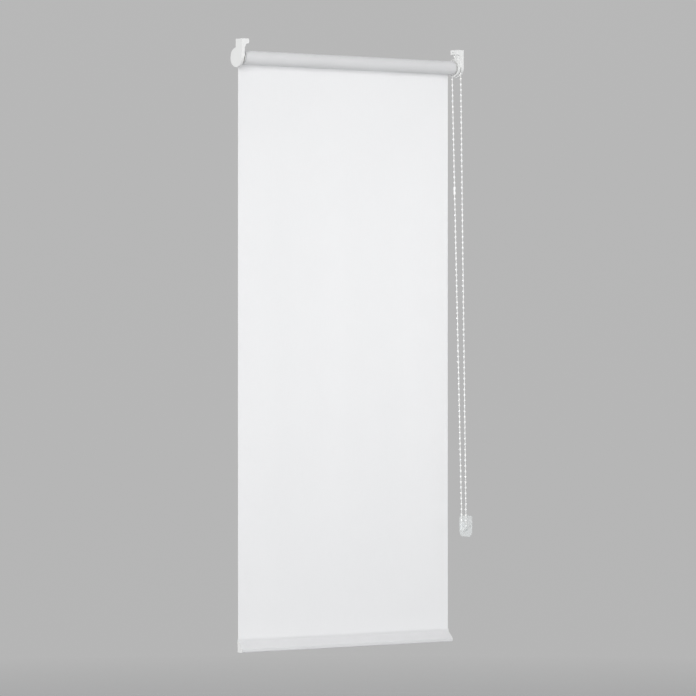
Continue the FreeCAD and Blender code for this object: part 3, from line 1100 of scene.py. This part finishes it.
@dataclass
class JoiningLink:
    """Snap link that holds a bead in each end, seen through a slot."""

    chain: BeadChain
    radius: float = 2.6 * MM
    waist: float = 1.7 * MM
    wall: float = 0.5 * MM
    bore: float = 0.8 * MM
    sides: int = 32
    slot_half: int = 3

    def profile(self, half: float) -> list[tuple[float, float]]:
        """Distance from the middle and radius, along half of the link."""
        return [
            (0.0, self.waist), (1.2 * MM, self.waist), (2.4 * MM, self.radius * 0.93),
            (3.2 * MM, self.radius), (half - 1.0 * MM, self.radius), (half - 0.3 * MM, self.radius * 0.9),
            (half, self.radius * 0.66),
        ]

    def draw(self, thread: Thread) -> bpy.types.Object:
        """Make the link between the two ends of the chain's line.

        Args:
            thread: The chain's line, which ends at the link.

        Returns:
            The link, with its beads inside.
        """
        ends = Thread([thread.points[-1], thread.points[0]])
        middle, half = ends.length / 2, ends.length / 2
        draft = Draft()
        upper = self.profile(half)
        stations = [(-s, r) for s, r in reversed(upper[1:])] + upper
        shells = []
        for shrink in (0.0, self.wall):
            rings = []
            for offset, radius in stations:
                radii = [max(radius - shrink, self.bore)] * self.sides
                rings.append(draft.ring(ends.ring(middle + offset, radii), [(0.0, 0.0)] * self.sides))
            shells.append(rings)
        self.wrap(draft, shells[0], shells[1])
        for side in (-1, 1):
            self.chain.bead.draw(draft, ends, middle + side * self.chain.loop.pitch / 2)
        self.chain.cord(draft, ends, middle - half, middle + half, 1)
        link = draft.piece("joining_link", [BEADS, CORD])
        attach(link, Body.FIXED.value)
        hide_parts("chain_connector")
        return link

    def open_at(self, row: int, rows: int, column: int) -> bool:
        """Whether the wall has its slot there."""
        barrel = row in (2, 3) or row in (rows - 4, rows - 3)
        off = min(column, self.sides - 1 - column)
        return barrel and off < self.slot_half

    def wrap(self, draft: Draft, outer: list[list[Any]], inner: list[list[Any]]) -> None:
        """Skin the outer and inner walls, leaving the slots open."""
        rows = len(outer)
        for row in range(rows - 1):
            for i in range(self.sides):
                j = (i + 1) % self.sides
                if self.open_at(row, rows, i):
                    continue
                draft.face(outer[row][i], outer[row][j], outer[row + 1][j], outer[row + 1][i])
                draft.face(inner[row][i], inner[row + 1][i], inner[row + 1][j], inner[row][j])


@dataclass
class DriveEnd(Assembly):
    """The bracket at the chain end, the clutch and the plug that turns the tube."""

    def build(self) -> list[bpy.types.Object]:
        """Dress the drive."""
        return self.dress({
            "control_bracket": WHITE_GLOSS,
            "chain_guard": WHITE_GLOSS,
            "chain_wheel": WHITE_SATIN,
            "clutch_spindle": WHITE_SATIN,
            "drive_hub": WHITE_SATIN,
            "clutch_springs": SPRING_WIRE,
            "spindle_screw": ZINC_PLATE,
        })


@dataclass
class PinSpring(Assembly):
    """The compression spring behind the pin, with a closed turn at each end."""

    wire: float = 0.7 * MM
    turns: int = 8
    turn_steps: int = 28
    wire_sides: int = 12
    push: float = 8.0 * MM

    def advance(self, turn: float, length: float) -> float:
        """How far along the axis the wire's middle is after so many turns.

        Args:
            turn: Turns from the seat.
            length: From the wire's middle at one end to its middle at the other.

        Returns:
            The distance from the seat.
        """
        if turn < 1:
            return turn * self.wire
        if turn > self.turns - 1:
            return length - (self.turns - turn) * self.wire
        return self.wire + (turn - 1) / (self.turns - 2) * (length - 2 * self.wire)

    def build(self) -> list[bpy.types.Object]:
        """Wind the spring between its seat and the pin's collar, which squeezes it."""
        low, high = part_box("idle_spring")
        axis = roller_axis()
        radius = (high.z - low.z) / 2 - self.wire / 2
        length = high.x - low.x - self.wire
        points = []
        for step in range(self.turns * self.turn_steps + 1):
            turn = step / self.turn_steps
            x = high.x - self.wire / 2 - self.advance(turn, length)
            points.append(axis.at(x, radius, 2 * math.pi * turn))
        wire = Thread(points)
        draft = Draft()
        radii = [self.wire / 2] * self.wire_sides
        cuts = [(0.0, 0.0)] * self.wire_sides
        rings = [draft.ring(wire.ring(mark, radii), cuts) for mark in wire.marks]
        draft.skin(rings)
        draft.face(*rings[0])
        draft.face(*rings[-1])
        spring = draft.piece("pin_spring", [SPRING_WIRE])
        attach(spring, Body.ROLLER.value)
        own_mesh(spring)
        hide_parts("idle_spring")
        return [spring]


@dataclass
class FreeEnd(Assembly):
    """The plain bracket, and the plug with its sprung pin."""

    spring: PinSpring = field(default_factory=PinSpring)

    def build(self) -> list[bpy.types.Object]:
        """Dress the free end and put the spring in its plug."""
        dressed = self.dress({
            "idle_bracket": WHITE_GLOSS,
            "idle_plug": WHITE_SATIN,
            "idle_pin": WHITE_SATIN,
        })
        return dressed + self.spring.build()


@dataclass
class Roller(Assembly):
    """The tube and the tape that holds the cloth to it."""

    def build(self) -> list[bpy.types.Object]:
        """Dress the tube and its tape."""
        return self.dress({"roller_tube": MILL_ALUMINIUM, "fabric_tape": TAPE})


@dataclass
class WallClip(Assembly):
    """The clear keeper that holds the loop to the wall."""

    def build(self) -> list[bpy.types.Object]:
        """Dress the clip."""
        return self.dress({"chain_clip": CLEAR})


# -------------------------------------------------------------------- studio


@dataclass(frozen=True)
class FloorPaint(Finish):
    """Pale matt floor that thins out into the room's light far from the object."""

    colour: Colour = (0.56, 0.565, 0.57, 1.0)
    shade_colour: Colour = (0.52, 0.525, 0.53, 1.0)
    cloud_scale: float = 1.3
    solid: float = 1.2
    gone: float = 5.5

    def mix(self, recipe: Recipe) -> None:
        """Cloud the paint faintly, and fade it with the distance from the middle."""
        place = recipe.place()
        clouds = recipe.noise(place, self.cloud_scale, 3.0)
        recipe.shade(
            Base_Color=recipe.blend(clouds, self.colour, self.shade_colour),
            Roughness=(0.85 + clouds * 0.1).held(),
            Specular_IOR_Level=0.0,
        )
        across, deep = recipe.along(place, "X"), recipe.along(place, "Y")
        far = (across * across + deep * deep) ** 0.5
        faded = ((far - self.solid) / (self.gone - self.solid)).held()
        clear = recipe.add("ShaderNodeBsdfTransparent")
        inputs = {0: faded, 1: Signal(recipe, recipe.shader.outputs[0]), 2: clear}
        mixed = recipe.add("ShaderNodeMixShader", None, inputs)
        recipe.feed(recipe.end.inputs["Surface"], mixed)


@dataclass(frozen=True)
class Lamp:
    """One soft square light, aimed at the blind."""

    name: str
    place: tuple[float, float, float]
    aim: tuple[float, float, float]
    width: float
    watts: float
    spread: float = math.radians(80)

    def hang(self) -> None:
        """Put the light in the scene."""
        data = bpy.data.lights.new(self.name, "AREA")
        data.shape = "SQUARE"
        data.size = self.width
        data.spread = self.spread
        data.energy = self.watts
        lamp = bpy.data.objects.new(self.name, data)
        lamp.location = self.place
        away = Vector(self.place) - Vector(self.aim)
        lamp.rotation_euler = away.to_track_quat("Z", "Y").to_euler()
        lamp.visible_camera = False
        bpy.context.scene.collection.objects.link(lamp)


@dataclass
class Studio(Assembly):
    """The floor, the lights, the room's light and the camera."""

    floor_drop: float = 0.42
    floor_radii: tuple[float, ...] = (0.5, 1.5, 3.0, 6.0, 12.0)
    floor_sides: int = 64
    heading: float = math.radians(37.04)
    stand: tuple[float, float, float] = (-5.470, -7.2345, -0.652)
    lens: float = 217.2
    sensor: float = 36.0
    shift: float = -0.0022
    far_clip: float = 200.0
    room: tuple[tuple[float, Colour], ...] = (
        (0.0, (0.42, 0.42, 0.42, 1.0)),
        (0.44, (0.46, 0.46, 0.46, 1.0)),
        (0.56, (0.48, 0.48, 0.48, 1.0)),
        (1.0, (0.5, 0.5, 0.505, 1.0)),
    )
    lamps: tuple[Lamp, ...] = (
        Lamp("key", (-5.5, -4.4, 0.4), (0.0, 0.0, -0.65), 3.4, 80.0),
        Lamp("fill", (3.8, -4.6, -0.1), (0.0, 0.0, -0.65), 2.6, 8.0),
        Lamp("back", (0.3, 1.4, -0.35), (0.15, 0.0, -0.5), 1.0, 3.7),
    )

    def floor(self) -> bpy.types.Object:
        """Lay a round floor under the blind."""
        draft = Draft()
        z = cad_box[0][2] - self.floor_drop
        rings = []
        turns = [2 * math.pi * i / self.floor_sides for i in range(self.floor_sides)]
        for radius in self.floor_radii:
            points = [Vector((radius * math.cos(t), radius * math.sin(t), z)) for t in turns]
            rings.append(draft.ring(points, [(0.0, 0.0)] * self.floor_sides))
        draft.skin(rings)
        draft.face(*rings[0])
        laid = draft.piece("floor", [FloorPaint(Slot.BRACKET)])
        return laid

    def room_light(self) -> None:
        """Fill the room with even light, brighter from above than from below."""
        world = bpy.data.worlds.new("room")
        world.use_nodes = True
        bpy.context.scene.world = world
        nodes = Nodes(world.node_tree)
        up = nodes.along(nodes.add("ShaderNodeTexCoord", output="Generated"), "Z")
        height = up.maths("MULTIPLY_ADD", up, 0.5, 0.5)
        light = nodes.add("ShaderNodeValToRGB", {"stops": self.room}, {"Fac": height})
        nodes.feed(world.node_tree.nodes["Background"].inputs["Color"], light)

    def camera(self) -> None:
        """Stand the camera, level, to the left of the blind."""
        data = bpy.data.cameras.new("camera")
        data.lens = self.lens
        data.sensor_width = self.sensor
        data.shift_y = self.shift
        data.clip_end = self.far_clip
        camera = bpy.data.objects.new("camera", data)
        camera.location = self.stand
        camera.rotation_euler = (math.pi / 2, 0.0, -self.heading)
        bpy.context.scene.collection.objects.link(camera)
        bpy.context.scene.camera = camera

    def build(self) -> list[bpy.types.Object]:
        """Set up the studio and return the floor."""
        bpy.context.scene.view_settings.view_transform = "Standard"
        self.camera()
        self.room_light()
        for lamp in self.lamps:
            lamp.hang()
        return [self.floor()]


def main() -> None:
    """Build the blind and its studio, and log each piece with its face count."""
    logging.basicConfig(level=logging.INFO, format="%(name)s: %(message)s")
    assemblies: list[Assembly] = [
        Studio(), BeadChain(), WallClip(), DriveEnd(), FreeEnd(), Roller(), RolledCloth(),
        HangingCloth(), Hem(),
    ]
    for assembly in assemblies:
        for piece in assembly.build():
            log.info("%s: %s, %d faces", type(assembly).__name__, piece.name, len(piece.data.polygons))


if __name__ == "__main__":
    main()
